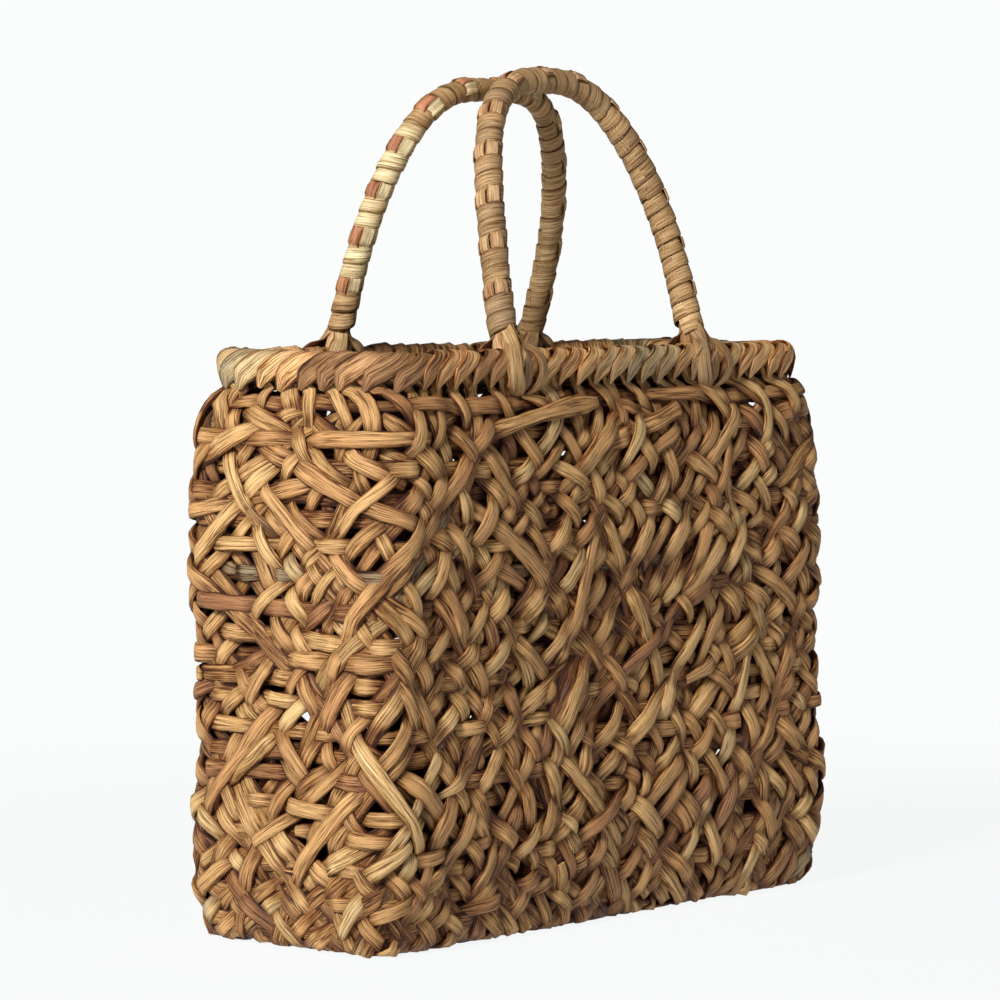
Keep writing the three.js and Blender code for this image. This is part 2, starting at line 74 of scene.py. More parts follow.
def wall_point(u, v):
    """Middle of the wall: u runs round the bag from the middle of the front, v up from the bend"""
    rise = np.clip(v / WALL_HEIGHT, 0, 1)
    turn = np.clip(-v / BEND, 0, math.pi / 2)
    inset = BEND * (1 - np.cos(turn)) + np.maximum(-v - BEND_RUN, 0)
    fast = FAST_SHARE * (1 - (1 - rise) ** FAST_POWER)
    filled = fast + (1 - FAST_SHARE) * (1 - (1 - rise) ** SLOW_POWER)
    waist = WAIST_DEPTH * np.exp(-((rise - WAIST_RISE) / WAIST_SPREAD) ** 2)
    swell = SWELL * filled * (1 - rise ** RIM_POWER) - waist - inset
    half_x = BASE_HALF[0] + (RIM_HALF[0] - BASE_HALF[0]) * rise + swell
    half_y = BASE_HALF[1] + (RIM_HALF[1] - BASE_HALF[1]) * rise + swell
    corner = np.maximum(CORNER + CORNER_GAIN * rise - inset, TIGHTEST_CORNER)
    walked = (u + FRONT_RUN / 2) % ROUND
    turned = walked >= HALF_ROUND
    walked = np.where(turned, walked - HALF_ROUND, walked)
    front = np.clip(walked / FRONT_RUN, 0, 1)
    first = np.clip((walked - FRONT_RUN) / CORNER_RUN, 0, 1) * math.pi / 2
    side = np.clip((walked - FRONT_RUN - CORNER_RUN) / SIDE_RUN, 0, 1)
    last = np.clip((walked - FRONT_RUN - CORNER_RUN - SIDE_RUN) / CORNER_RUN, 0, 1) * math.pi / 2
    x = (half_x - corner) * (2 * front - 1) + corner * (np.sin(first) - 1 + np.cos(last))
    y = -half_y + corner * (1 - np.cos(first) + np.sin(last)) + 2 * (half_y - corner) * side
    flip = np.where(turned, -1, 1)
    sway = np.clip((SWAY_RISE - rise) / SWAY_FADE, 0, 1)
    z = BEND_TOP + np.maximum(v, 0) - BEND * np.sin(turn)
    return np.stack([x * flip + SWAY[0] * sway, y * flip + SWAY[1] * sway, z], axis=-1)


def unit(vectors):
    """The same directions, all one long"""
    return vectors / np.linalg.norm(vectors, axis=1, keepdims=True)


def wall_facing(u, v):
    """Outward direction of the wall at those places"""
    along = wall_point(u + 0.5, v) - wall_point(u - 0.5, v)
    upward = wall_point(u, v + 0.5) - wall_point(u, v - 0.5)
    return unit(np.cross(along, upward))


FULL_TURN = 6.3


def drift(random, count, reach, size):
    """Smooth random wander along a strip, by points a step apart"""
    walked = np.arange(count) * STEP
    total = 0
    for wave in range(3):
        length = reach * random.uniform(0.7, 1.6)
        total = total + np.sin(2 * math.pi * walked / length + random.uniform(0, FULL_TURN))
    return size * total / 1.6


@dataclass
class Strip:
    """One split vine: places on the middle of the weave, the way it faces, its half width, its
    colour, a wave that is high where it goes over those that it crosses, and its painted light and
    shade: paler where it stands out, darker where it lies deep or under others"""
    family: str
    middle: np.ndarray
    facing: np.ndarray
    half_width: np.ndarray
    tint: float
    wave: np.ndarray = 0.0
    rubbed: np.ndarray = 0.0


PLAIN_SHARE = 0.87
PLAIN_TINT, PLAIN_SPREAD = 0.475, 0.14
ODD_TINTS = [0.04, 0.14, 0.8, 0.84, 1.0]


def vine_tint(random):
    """Most vines are plain brown or tan, and a few are reddish, straw-coloured or grey"""
    if random.random() < PLAIN_SHARE:
        return float(np.clip(random.normal(PLAIN_TINT, PLAIN_SPREAD), 0, 1))
    return float(random.choice(ODD_TINTS))


END_WIDTH = 0.62


def tapered(random, count, half_width, end):
    """Half widths along a strip that thins towards both of its ends"""
    steps = np.arange(count)
    from_end = np.minimum(steps, count - 1 - steps) * STEP
    wander = 1 + drift(random, count, 70, 0.11) + drift(random, count, 16, 0.045)
    return half_width * wander * (END_WIDTH + (1 - END_WIDTH) * np.clip(from_end / end, 0, 1))


TUCKED_RUN = 9


def over_and_under(random, count, lean, tuck=0.0):
    """Wave of a strip that comes to the front every few centimetres, its ends tucked under"""
    walked = np.arange(count) * STEP
    length = random.uniform(24, 38)
    wave = np.sin(2 * math.pi * walked / length + random.uniform(0, FULL_TURN)) + lean
    ripple = np.sin(2 * math.pi * walked / (length * 0.57) + random.uniform(0, FULL_TURN))
    from_end = np.minimum(walked, walked[-1] - walked)
    return wave + 0.45 * ripple - tuck * np.clip(1 - from_end / TUCKED_RUN, 0, 1)


class Cover:
    """How many strips lie on each small patch of the wall, and which way they run"""
    CELL = 3.0
    ROWS = 84
    LOWEST = -24
    STRIP_EDGE = 2.4
    CLOSING = 0.75
    ALIKE_COST = 0.16

    def __init__(self):
        shape = (int(ROUND / self.CELL) + 1, self.ROWS)
        self.layers = np.zeros(shape)
        self.level = np.zeros(shape)
        self.slant = np.zeros(shape)

    def patches(self, u, v):
        column = ((u % ROUND) / self.CELL).astype(int)
        row = np.clip((v - self.LOWEST) / self.CELL, 0, self.ROWS - 1).astype(int)
        return column, row

    def lay(self, u, v):
        du, dv = np.gradient(u), np.gradient(v)
        run = np.hypot(du, dv)
        for offset in (-self.STRIP_EDGE, 0.0, self.STRIP_EDGE):
            place = self.patches(u + offset * dv / run, v - offset * du / run)
            np.add.at(self.layers, place, 1.0)
            np.add.at(self.level, place, (du * du - dv * dv) / run ** 2)
            np.add.at(self.slant, place, 2 * du * dv / run ** 2)

    def welcome(self, u, v):
        """High where a strip would close gaps and cross what is there, low where it would hide it"""
        du, dv = np.gradient(u), np.gradient(v)
        run = du * du + dv * dv
        place = self.patches(u, v)
        alike = (self.level[place] * (du * du - dv * dv) + self.slant[place] * 2 * du * dv) / run
        closed = np.mean(np.exp(-self.CLOSING * self.layers[place]))
        return closed - self.ALIKE_COST * np.mean(np.maximum(alike, 0))


weave_random = np.random.default_rng(11)
strips = []
cover = Cover()

# Hoops, from the base up, at uneven heights, the last one close under the rim
LOWEST_HOOP, TOP_HOOP = -7.0, 213.6
HOOP_OVERLAP = 30
HOOP_STEPS = (8.4, 13.6)
HOOP_HALF_WIDTHS = (3.2, 3.9)
height = LOWEST_HOOP
at_top = False
while not at_top:
    at_top = height == TOP_HOOP
    count = int((ROUND + HOOP_OVERLAP) / STEP)
    u = weave_random.uniform(0, ROUND) + np.arange(count) * STEP
    v = height + drift(weave_random, count, 150, 1.2)
    width = tapered(weave_random, count, weave_random.uniform(*HOOP_HALF_WIDTHS), 8)
    facing = wall_facing(u, v)
    tint = vine_tint(weave_random)
    wave = over_and_under(weave_random, count, -0.05 - 0.6 * facing[:, 1] ** 2)
    strips.append(Strip("hoop", wall_point(u, v), facing, width, tint, wave))
    cover.lay(u, v)
    step = weave_random.uniform(*HOOP_STEPS)
    height = height + step if height + 1.4 * step < TOP_HOOP else TOP_HOOP


def wandering(random, u, v, heading, target, settle, wobble, length):
    """Path that starts off at one heading from straight down and settles to wander about another"""
    count = int(length / STEP)
    walked = np.arange(count) * STEP
    ease = np.clip(walked / settle, 0, 1)
    ease = ease * ease * (3 - 2 * ease)
    angle = np.radians(heading + (target - heading) * ease)
    angle = angle + drift(random, count, 150, math.radians(wobble))
    return u + np.cumsum(np.sin(angle)) * STEP, v - np.cumsum(np.cos(angle)) * STEP


# Stakes, from under the rim down the wall and in under the base, as far apart as their turns on
# the rim. Near the rim they are drawn out to its outer side.
STAKES = 66
STAKE_TOP, FOLD_BACK, STAKE_LENGTH = WALL_HEIGHT + 9, 6, 430
STAKE_SETTLE, STAKE_WOBBLE = 46, 6.5
STAKE_HALF_WIDTHS = (3.0, 3.9)
LEAN_ANGLES, FOLD_ANGLES = (22, 52), (38, 54)
BASE_REACH = 34
RIM_OUTSIDE = 8.3
STAKE_OUTSIDE = RIM_OUTSIDE - 2.9
DRAWN_OUT_FROM, DRAWN_OUT_RUN = 22, 12
rim_walked = np.arange(0, ROUND + 1, 1.0)
top = np.full_like(rim_walked, WALL_HEIGHT)
outside = wall_point(rim_walked, top) + wall_facing(rim_walked, top) * (RIM_OUTSIDE, RIM_OUTSIDE, 0)
rim_steps = np.linalg.norm(np.diff(outside, axis=0), axis=1)
rim_run = np.concatenate([[0], np.cumsum(rim_steps)])
uneven = np.arange(STAKES) + weave_random.uniform(-0.14, 0.14, STAKES)
stake_places = np.interp(uneven * rim_run[-1] / STAKES, rim_run, rim_walked)
stake_tints = [vine_tint(weave_random) for stake in range(STAKES)]
for stake, start in enumerate(stake_places):
    lean = weave_random.uniform(*LEAN_ANGLES) * (1 if stake % 2 else -1)
    fold = weave_random.uniform(*FOLD_ANGLES)
    u, v = wandering(weave_random, start - FOLD_BACK * math.tan(math.radians(fold)), STAKE_TOP,
                     fold, lean, STAKE_SETTLE, STAKE_WOBBLE, STAKE_LENGTH)
    kept = v > -(BEND_RUN + BASE_REACH)
    u, v = u[kept], v[kept]
    width = tapered(weave_random, len(u), weave_random.uniform(*STAKE_HALF_WIDTHS), 10)
    wave = over_and_under(weave_random, len(u), 0.0)
    wave[:6] += np.linspace(1.6, 0, 6)
    middle, facing = wall_point(u, v), wall_facing(u, v)
    rim_line = wall_point(u, np.full_like(v, WALL_HEIGHT))
    outward = facing * (1, 1, 0)
    stood_out = np.einsum("ij,ij->i", middle - rim_line, outward)
    near_rim = np.clip((v - WALL_HEIGHT + DRAWN_OUT_FROM) / DRAWN_OUT_RUN, 0, 1)
    middle = middle + outward * (near_rim * np.maximum(STAKE_OUTSIDE - stood_out, 0))[:, None]
    strips.append(Strip("stake", middle, facing, width, stake_tints[stake], wave))
    cover.lay(u, v)


LOOSE_END, LOOSE_TUCK = 12, 2.2


def lay_loose(u, v, half_widths, lean):
    """Adds a loose length with its ends tucked under the others"""
    width = tapered(weave_random, len(u), weave_random.uniform(*half_widths), LOOSE_END)
    tint = vine_tint(weave_random)
    wave = over_and_under(weave_random, len(u), lean, LOOSE_TUCK)
    strips.append(Strip("loose", wall_point(u, v), wall_facing(u, v), width, tint, wave))
    cover.lay(u, v)


# Loose lengths, each laid where the wall is still open
LOOSE = 256
TRIES = 14
FEWEST_POINTS = 18
LOOSE_ANGLES, LOOSE_LENGTHS = (22, 58, 84), (75, 225)
LOOSE_HALF_WIDTHS = (2.9, 4.3)
LOOSE_LOWEST, LOOSE_HIGHEST = -20, 212
for loose in range(LOOSE):
    best = None
    for trial in range(TRIES):
        heading = weave_random.choice([-1, 1]) * weave_random.triangular(*LOOSE_ANGLES)
        length = weave_random.uniform(*LOOSE_LENGTHS)
        u, v = weave_random.uniform(0, ROUND), weave_random.uniform(30, 235)
        target = heading + weave_random.uniform(-16, 16)
        u, v = wandering(weave_random, u, v, heading, target, length, 5, length)
        kept = (v > LOOSE_LOWEST) & (v < LOOSE_HIGHEST)
        u, v = u[kept], v[kept]
        if len(u) < FEWEST_POINTS:
            continue
        worth = cover.welcome(u, v)
        if best is None or worth > best[0]:
            best = (worth, u, v)
    lay_loose(best[1], best[2], LOOSE_HALF_WIDTHS, 0.05)

# Short lengths drawn across what is still open
SHORT = 88
SHORT_ANGLES, SHORT_LENGTHS = (20, 85), (40, 85)
SHORT_HALF_WIDTHS = (2.8, 3.6)
SHORT_HIGHEST = 219
FIRST_ROW, LAST_ROW = 7, 80
NEARBY = [(across, up) for across in (-1, 0, 1) for up in (-1, 0, 1)]
for short in range(SHORT):
    open_now = (cover.layers[:, FIRST_ROW:LAST_ROW] < 0.5).astype(float)
    around = sum(np.roll(open_now, shift, (0, 1)) for shift in NEARBY) * open_now
    widest = np.argmax(around + 0.1 * weave_random.random(around.shape))
    column, row = np.unravel_index(widest, around.shape)
    length = weave_random.uniform(*SHORT_LENGTHS)
    tilt = weave_random.choice([-1, 1]) * weave_random.uniform(*SHORT_ANGLES)
    u = (column + 0.5) * Cover.CELL - math.sin(math.radians(tilt)) * length / 2
    v = (row + FIRST_ROW + 0.5) * Cover.CELL + Cover.LOWEST + math.cos(math.radians(tilt)) * length / 2
    u, v = wandering(weave_random, u, v, tilt, tilt, length, 4, length)
    kept = (v > LOOSE_LOWEST) & (v < SHORT_HIGHEST)
    lay_loose(u[kept], v[kept], SHORT_HALF_WIDTHS, -0.4)

# Short lengths looped round the lower edge, where the bag stands
EDGE_LOOPS = 58
LOOP_ANGLES, LOOP_LENGTH = (14, 62), 90
LOOP_LOWEST = -26
for loop in range(EDGE_LOOPS):
    heading = (1 if loop % 2 else -1) * weave_random.uniform(*LOOP_ANGLES)
    start = (loop + weave_random.uniform(-0.3, 0.3)) * ROUND / EDGE_LOOPS
    u, v = wandering(weave_random, start, weave_random.uniform(14, 34), heading, heading, 60, 7, LOOP_LENGTH)
    kept = v > LOOP_LOWEST
    lay_loose(u[kept], v[kept], SHORT_HALF_WIDTHS, 0.3)

# Lengths that close the base, crossing the ends of the stakes
LENGTHWISE_RUNS, LENGTHWISE_PITCH, LENGTHWISE_LENGTH = 13, 6.8, 266
CROSSWISE_RUNS, CROSSWISE_PITCH, CROSSWISE_LENGTH = 36, 7.7, 100
BASE_EDGE = (137, 44)
BASE_STRIP_HALF = 3.7
for run in range(LENGTHWISE_RUNS + CROSSWISE_RUNS):
    if run < LENGTHWISE_RUNS:
        angle = weave_random.uniform(-0.05, 0.05)
        count = int(LENGTHWISE_LENGTH / STEP)
        centre = (0, (run - (LENGTHWISE_RUNS - 1) / 2) * LENGTHWISE_PITCH)
    else:
        angle = weave_random.choice([-1, 1]) * weave_random.uniform(1.2, 1.55)
        count = int(CROSSWISE_LENGTH / STEP)
        centre = ((run - LENGTHWISE_RUNS - (CROSSWISE_RUNS - 1) / 2) * CROSSWISE_PITCH, 0)
    walked = (np.arange(count) - count / 2) * STEP
    x = walked * math.cos(angle) + centre[0]
    y = walked * math.sin(angle) + centre[1] + drift(weave_random, count, 90, 1.2)
    kept = (np.abs(x) < BASE_EDGE[0]) & (np.abs(y) < BASE_EDGE[1])
    x, y = x[kept], y[kept]
    middle = np.stack([x, y, np.full(len(x), BEND_TOP - BEND)], axis=-1)
    downward = np.tile([0.0, 0.0, -1.0], (len(x), 1))
    width = tapered(weave_random, len(x), BASE_STRIP_HALF, 10)
    tint = vine_tint(weave_random)
    wave = over_and_under(weave_random, len(x), 0.0, 1.0)
    strips.append(Strip("base", middle, downward, width, tint, wave))


NEIGHBOUR_REACH = 6.6
OWN_TURN_POINTS = 40
CONTACT_SHARE = 0.84
SAME_SIDE = 0.3
CROSSING_POINTS = 9
FIRST_STAND, MOST_STAND = 1.3, 5.0
GIVE, STIFFNESS, TENSION = 0.9, 0.3, 0.996
ROUNDS = 240


def interlace(strips):
    """How far each point stands off the middle of the weave, and how deep it lies under others.
    Where two strips cross, the one whose wave is higher there goes over, and both bend until there
    is room for them"""
    counts = [len(strip.middle) for strip in strips]
    middle = np.concatenate([strip.middle for strip in strips])
    facing = np.concatenate([strip.facing for strip in strips])
    half = np.concatenate([strip.half_width for strip in strips])
    wave = np.concatenate([strip.wave for strip in strips])
    number = np.repeat(np.arange(len(strips)), counts)
    tree = kdtree.KDTree(len(middle))
    for index, point in enumerate(middle):
        tree.insert(point, index)
    tree.balance()
    lower, upper, apart = [], [], []
    for index, point in enumerate(middle):
        for place, other, distance in tree.find_range(point, NEIGHBOUR_REACH):
            if other > index and (number[other] != number[index] or other - index > OWN_TURN_POINTS):
                lower.append(index)
                upper.append(other)
                apart.append(distance)
    lower, upper, apart = np.array(lower), np.array(upper), np.array(apart)
    near = apart / (CONTACT_SHARE * (half[lower] + half[upper]))
    kept = (near < 1) & (np.einsum("ij,ij->i", facing[lower], facing[upper]) > SAME_SIDE)
    lower, upper, near = lower[kept], upper[kept], near[kept]

    order = np.lexsort((upper, number[lower], number[upper]))
    lower, upper, near = lower[order], upper[order], near[order]
    new = np.ones(len(lower), bool)
    other_strips = (np.diff(number[upper]) != 0) | (np.diff(number[lower]) != 0)
    new[1:] = other_strips | (np.diff(upper) > CROSSING_POINTS)
    crossing = np.cumsum(new) - 1
    higher = np.bincount(crossing, wave[upper] - wave[lower]) >= 0
    sign = np.where(higher, 1.0, -1.0)[crossing]

    need = VINE_THICKNESS * np.sqrt(1 - near ** 2)
    stand = FIRST_STAND * wave
    linked = number[1:] == number[:-1]
    inside = linked[1:] & linked[:-1]
    for turn in range(ROUNDS):
        short = need - sign * (stand[upper] - stand[lower])
        push = np.where(short > 0, short, 0) * sign * 0.5
        moved = np.bincount(upper, push, len(stand)) - np.bincount(lower, push, len(stand))
        pushes = np.bincount(upper, short > 0, len(stand)) + np.bincount(lower, short > 0, len(stand))
        stand += GIVE * moved / np.maximum(pushes, 1)
        bend = 0.5 * (stand[2:] + stand[:-2]) - stand[1:-1]
        stand[1:-1] += STIFFNESS * np.where(inside, bend, 0)
        stand *= TENSION
    buried = np.zeros(len(stand))
    np.maximum.at(buried, np.where(sign > 0, lower, upper), np.sqrt(1 - near ** 2))
    ends = np.cumsum(counts)[:-1]
    return zip(np.split(MOST_STAND * np.tanh(stand / MOST_STAND), ends), np.split(buried, ends))


# Stakes lie flat on the rim's hoops, and no strip reaches below the floor
FLAT_FROM, FLAT_RUN = 219, 5
# How far standing out lightens a strip and lying under others darkens it: painted light and shade
LIT_STAND_MOST, LIT_STAND_SCALE, BURIED_PAINTED_SHADE = 1.3, 7, 0.72
TWIST_REACH, TWIST = 55, 0.13
for strip, (stand, buried) in zip(strips, interlace(strips)):
    flat = np.clip((strip.middle[:, 2] - FLAT_FROM) / FLAT_RUN, 0, 1) if strip.family == "stake" else 0.0
    stand = stand * (1 - flat)
    strip.middle = strip.middle + strip.facing * stand[:, None]
    # Painted light and shade: lighter where the strip stands out, darker where it lies deep or under others
    strip.rubbed = np.minimum(stand, LIT_STAND_MOST) / LIT_STAND_SCALE - buried * BURIED_PAINTED_SHADE
    twist = drift(weave_random, len(stand), TWIST_REACH, TWIST)
    slope = unit(np.gradient(strip.middle, axis=0))
    side = np.cross(slope, strip.facing)
    strip.facing = strip.facing * np.cos(twist)[:, None] + side * np.sin(twist)[:, None]
    side = np.cross(slope, strip.facing)
    downward_reach = strip.half_width * (np.abs(side[:, 2]) + 0.5 * np.abs(strip.facing[:, 2]))
    strip.middle[:, 2] = np.maximum(strip.middle[:, 2], downward_reach)


class Socket:
    """A node socket. Arithmetic on it adds Math nodes, and node() adds any other node."""

    def __init__(self, tree, source=None):
        self.tree = tree
        self.source = source

    def node(self, kind, settings=(), values=(), output=0):
        made = self.tree.nodes.new(kind)
        for name, setting in dict(settings).items():
            if name == "stops":
                ends = made.color_ramp.elements
                for stop, (place, colour) in zip((ends[0], ends[1]), (setting[0], setting[-1])):
                    stop.position = place
                    stop.color = (*colour, 1)
                for place, colour in setting[1:-1]:
                    ends.new(place).color = (*colour, 1)
            else:
                setattr(made, name, setting)
        for name, value in dict(values).items():
            if isinstance(value, Socket):
                self.tree.links.new(value.source, made.inputs[name])
            else:
                made.inputs[name].default_value = value
        return Socket(self.tree, made.outputs[output]) if len(made.outputs) else None

    def maths(self, operation, *others):
        return self.node("ShaderNodeMath", {"operation": operation}, dict(enumerate((self, *others))))

    def fade(self, start, end, low, high, kind="SMOOTHSTEP"):
        """Low up to start, high from end on, and in between a ramp from the one to the other"""
        limits = {"From Min": start, "From Max": end, "To Min": low, "To Max": high}
        return self.node("ShaderNodeMapRange", {"interpolation_type": kind}, {"Value": self, **limits})

    def __add__(self, other):
        return self.maths("ADD", other)

    def __sub__(self, other):
        return self.maths("SUBTRACT", other)

    def __rsub__(self, other):
        return self.node("ShaderNodeMath", {"operation": "SUBTRACT"}, {0: other, 1: self})

    def __mul__(self, other):
        return self.maths("MULTIPLY", other)

    __radd__ = __add__
    __rmul__ = __mul__


def split_vine_tree():
    """Nodes that draw the lens-shaped section of a split vine along a chain of edges"""
    tree = bpy.data.node_groups.new("split_vine", "GeometryNodeTree")
    tree.interface.new_socket("Geometry", in_out="OUTPUT", socket_type="NodeSocketGeometry")
    kinds = {"Geometry": "Geometry", "Back": "Float", "Belly": "Float", "Roundness": "Float",
             "Corners": "Int", "Bark": "Material"}
    for name, kind in kinds.items():
        tree.interface.new_socket(name, in_out="INPUT", socket_type="NodeSocket" + kind)
    given = tree.nodes.new("NodeGroupInput")
    chain, back, belly, roundness, corners, finish = (Socket(tree, given.outputs[name]) for name in kinds)
    make = Socket(tree).node

    def attribute(name, kind):
        return make("GeometryNodeInputNamedAttribute", {"data_type": kind}, {"Name": name})

    def store(geometry, name, value):
        return make("GeometryNodeStoreNamedAttribute", {"data_type": "FLOAT", "domain": "POINT"},
                    {0: geometry, "Name": name, "Value": value})

    path = make("GeometryNodeMeshToCurve", values={0: chain})
    facing = attribute("facing", "FLOAT_VECTOR")
    path = make("GeometryNodeSetCurveNormal", {"mode": "FREE"}, {0: path, "Normal": facing})
    path = store(path, "along", make("GeometryNodeSplineParameter", output="Length"))
    ring = make("GeometryNodeCurvePrimitiveCircle", values={"Resolution": corners, "Radius": 1.0})
    spot = make("GeometryNodeInputPosition")
    high = make("ShaderNodeSeparateXYZ", values={0: spot}, output="X")
    wide = make("ShaderNodeSeparateXYZ", values={0: spot}, output="Y")
    ring = store(store(ring, "across", wide), "hollow", high)
    over = high.maths("MAXIMUM", 0.0).maths("POWER", roundness) * back
    under = (0.0 - high).maths("MAXIMUM", 0.0).maths("POWER", roundness) * belly
    section = make("ShaderNodeCombineXYZ", values={"X": over - under, "Y": wide})
    ring = make("GeometryNodeSetPosition", values={0: ring, "Position": section})
    half_width = attribute("half_width", "FLOAT")
    body = make("GeometryNodeCurveToMesh", values={0: path, 1: ring, "Scale": half_width, "Fill Caps": True})
    body = make("GeometryNodeSetShadeSmooth", values={0: body})
    body = make("GeometryNodeRealizeInstances", values={0: body})
    body = make("GeometryNodeSetMaterial", values={0: body, "Material": finish})
    make("NodeGroupOutput", values={0: body})
    return tree


SPLIT_VINE = split_vine_tree()


def placed(name, data):
    """New object in the scene, with this mesh, lamp or lens"""
    made = bpy.data.objects.new(name, data)
    bpy.context.scene.collection.objects.link(made)
    return made


def vine_piece(name, strips, finish, random, back=0.39, belly=0.25, roundness=0.54, corners=12):
    """Plain mesh of all these strips, drawn by the split vine nodes"""
    counts = [len(strip.middle) for strip in strips]
    starts = np.cumsum([0] + counts[:-1])

    def at_points(values):
        """One value for each point, from one for each strip or one for each of its points"""
        return np.concatenate([np.broadcast_to(value, count) for value, count in zip(values, counts)])

    middle = np.concatenate([strip.middle for strip in strips]) * MILLIMETRE
    edges = np.concatenate([np.stack([np.arange(count - 1), np.arange(1, count)], axis=-1) + start
                            for start, count in zip(starts, counts)])
    chain = bpy.data.meshes.new(name)
    chain.from_pydata(middle.tolist(), edges.tolist(), [])
    facing = np.concatenate([strip.facing for strip in strips]).astype(np.float32)
    chain.attributes.new("facing", "FLOAT_VECTOR", "POINT").data.foreach_set("vector", facing.ravel())
    fields = {
        "half_width": at_points(strip.half_width for strip in strips) * MILLIMETRE,
        "tint": at_points(strip.tint for strip in strips),
        "chance": at_points(random.random(len(strips))),
        # painted light and shade of the weave, by how far each point stands out or lies under others
        "rubbed": at_points(strip.rubbed for strip in strips),
    }
    for field, values in fields.items():
        chain.attributes.new(field, "FLOAT", "POINT").data.foreach_set("value", values.astype(np.float32))
    piece = placed(name, chain)
    draw = piece.modifiers.new("split vine", "NODES")
    draw.node_group = SPLIT_VINE
    inputs = {"Back": back, "Belly": belly, "Roundness": roundness, "Corners": corners, "Bark": finish}
    for item in SPLIT_VINE.interface.items_tree:
        if item.in_out == "INPUT" and item.name in inputs:
            draw[item.identifier] = inputs[item.name]
    evaluated = piece.evaluated_get(bpy.context.evaluated_depsgraph_get())
    drawn = bpy.data.meshes.new_from_object(evaluated)
    piece.modifiers.remove(draw)
    piece.data = drawn
    bpy.data.meshes.remove(chain)
    drawn.name = name
    return piece


# Light, shade and roughness of the bark, and how its green and blue fall off where it is dark, which turns
# its own dark tones and its painted shade redder
BRIGHTNESS, DARKEST, ROUGHNESS = 1.33, 0.12, 0.56
FIBRE_SHADE, SPLIT_SHADE, EDGE_PAINTED_SHADE, PATCH_SHADE, STRIP_SHADE = 4.4, 0.8, 0.68, 0.4, 0.16
GREEN_MOST, GREEN_LOSS = 1.25, 0.44
BLUE_MOST, BLUE_LOSS = 1.35, 0.98


def empty_material(name):
    """Material without nodes, and what makes nodes in it"""
    made = bpy.data.materials.new(name)
    made.use_nodes = True
    made.node_tree.nodes.clear()
    return made, Socket(made.node_tree).node


def bark_finish(name, stops, fibre_depth=1.0, split_amount=1.0, contrast=1.0):
    """Shaved vine: fibres and splits run along the strip, and its colour drifts along it and from
    strip to strip. Its edges and belly are painted darker as shade, the weave's painted light and
    shade is added, and where it is dark it turns redder"""
    finish, make = empty_material(name)

    def field(attribute):
        return make("ShaderNodeAttribute", {"attribute_name": attribute}, output="Fac")

    along, across, tint, chance = field("along"), field("across"), field("tint"), field("chance")
    # Painted shade: the belly side, which faces inwards, is made up to half as bright
    belly = field("hollow").fade(-0.35, 0.05, 1.0, 0.0, "LINEAR")

    def noise(stretch, spread, detail, roughness=0.55):
        spot = {"X": along * stretch, "Y": across * spread, "Z": chance * 97.0}
        place = make("ShaderNodeCombineXYZ", values=spot)
        grain = {"Scale": 1.0, "Detail": detail, "Roughness": roughness}
        return make("ShaderNodeTexNoise", values={"Vector": place, **grain})

    fibre = noise(75, 9.5, 4, 0.78) - 0.5
    coarse = noise(26, 3.0, 2)
    patch = noise(15, 0.55, 2) - 0.5
    open_split = noise(40, 1.4, 1).fade(0.36, 0.52, 0.0, split_amount, "LINEAR")
    split = (coarse - 0.5).maths("ABSOLUTE").fade(0.0, 0.05, open_split, 0.0)
    # Painted shade: each strip darkens towards its edges, as its rounded back and the crevices beside it
    # would
    edge = across.maths("ABSOLUTE").fade(0.55, 1.0, 0.0, 1.0)

    hue = tint + patch * 0.55 + fibre * 0.28
    colour = make("ShaderNodeValToRGB", {"stops": stops}, {"Fac": hue})
    shade = BRIGHTNESS + fibre * (FIBRE_SHADE * contrast) - split * SPLIT_SHADE
    shade = shade - edge * (EDGE_PAINTED_SHADE * contrast) + patch * PATCH_SHADE + (chance - 0.5) * STRIP_SHADE
    # Painted light and shade: the weave's relief light is added, and the belly side is painted darker
    shade = ((shade + field("rubbed")) * (1.0 - belly * 0.5)).maths("MAXIMUM", DARKEST)
    # Dark tones, painted shade among them, lose green and blue and turn redder
    green = shade * shade.maths("MINIMUM", GREEN_MOST).maths("POWER", GREEN_LOSS)
    blue = shade * shade.maths("MINIMUM", BLUE_MOST).maths("POWER", BLUE_LOSS)
    shade_colour = make("ShaderNodeCombineColor", values={0: shade, 1: green, 2: blue})
    colour = make("ShaderNodeMix", {"data_type": "RGBA", "blend_type": "MULTIPLY"},
                  {0: 1.0, 6: colour, 7: shade_colour}, output=2)

    relief = fibre * 0.5 + coarse * 0.3 - split * 0.9
    bump = make("ShaderNodeBump", values={
        "Strength": 0.8 * fibre_depth, "Distance": 0.0009, "Height": relief})
    roughness = ROUGHNESS + fibre * 0.35 + split * 0.2
    shader = make("ShaderNodeBsdfPrincipled", values={
        "Base Color": colour, "Roughness": roughness, "Normal": bump, "Specular IOR Level": 0.4})
    make("ShaderNodeOutputMaterial", values={"Surface": shader})
    return finish


WALL_COLOURS = [
    (0.0, (0.245, 0.100, 0.036)),
    (0.16, (0.332, 0.146, 0.050)),
    (0.32, (0.398, 0.192, 0.063)),
    (0.5, (0.450, 0.236, 0.080)),
    (0.66, (0.495, 0.276, 0.098)),
    (0.82, (0.545, 0.334, 0.126)),
    (0.92, (0.380, 0.245, 0.108)),
    (1.0, (0.255, 0.176, 0.092)),
]
wall_bark = bark_finish("wall_bark", WALL_COLOURS)


def of_family(family):
    return [strip for strip in strips if strip.family == family]


def nodes_of(beginning):
    return [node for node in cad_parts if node.startswith(beginning)]


